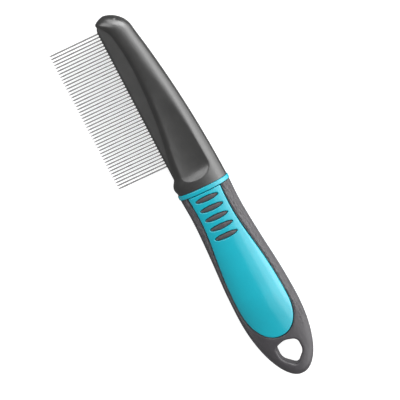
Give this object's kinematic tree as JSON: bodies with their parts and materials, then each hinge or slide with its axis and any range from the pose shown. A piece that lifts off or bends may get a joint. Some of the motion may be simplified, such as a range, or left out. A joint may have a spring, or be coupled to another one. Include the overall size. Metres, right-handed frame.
{
  "type": "flea comb",
  "caption": "Flea comb with a row of fine straight steel pins in a slim plastic head, and a soft two-colour handle with finger ribs and a hanging hole.",
  "frame": {"origin": "under the middle of the comb's bounding box, on the surface it lies on", "axes": "+X along the comb from the hanging loop to the tip of the head, +Y the way the pins point, +Z out of the front face"},
  "size_m": [0.2105, 0.0572, 0.0184],
  "materials": {
    "head_plastic": "satin moulded",
    "bar_plastic": "plain moulded",
    "turquoise_plastic": "satin gloss",
    "grip_rubber": "fine leather grain",
    "core_plastic": "plain moulded",
    "steel": "polished wire"
  },
  "bodies": {
    "root": {"head_front_shell": "head_plastic", "head_back_shell": "head_plastic", "pin_bar": "bar_plastic", "collar_ring": "turquoise_plastic", "grip_panel_front": "turquoise_plastic", "grip_panel_back": "turquoise_plastic", "grip_sleeve": "grip_rubber", "handle_core": "core_plastic", "pin_01": "steel", "pin_02": "steel", "pin_03": "steel", "pin_04": "steel", "pin_05": "steel", "pin_06": "steel", "pin_07": "steel", "pin_08": "steel", "pin_09": "steel", "pin_10": "steel", "pin_11": "steel", "pin_12": "steel", "pin_13": "steel", "pin_14": "steel", "pin_15": "steel", "pin_16": "steel", "pin_17": "steel", "pin_18": "steel", "pin_19": "steel", "pin_20": "steel", "pin_21": "steel", "pin_22": "steel", "pin_23": "steel", "pin_24": "steel", "pin_25": "steel", "pin_26": "steel", "pin_27": "steel", "pin_28": "steel", "pin_29": "steel", "pin_30": "steel", "pin_31": "steel", "pin_32": "steel", "pin_33": "steel", "pin_34": "steel", "pin_35": "steel", "pin_36": "steel", "pin_37": "steel", "pin_38": "steel", "pin_39": "steel", "pin_40": "steel", "pin_41": "steel", "pin_42": "steel", "pin_43": "steel", "pin_44": "steel", "pin_45": "steel", "pin_46": "steel"}
  },
  "joints": []
}
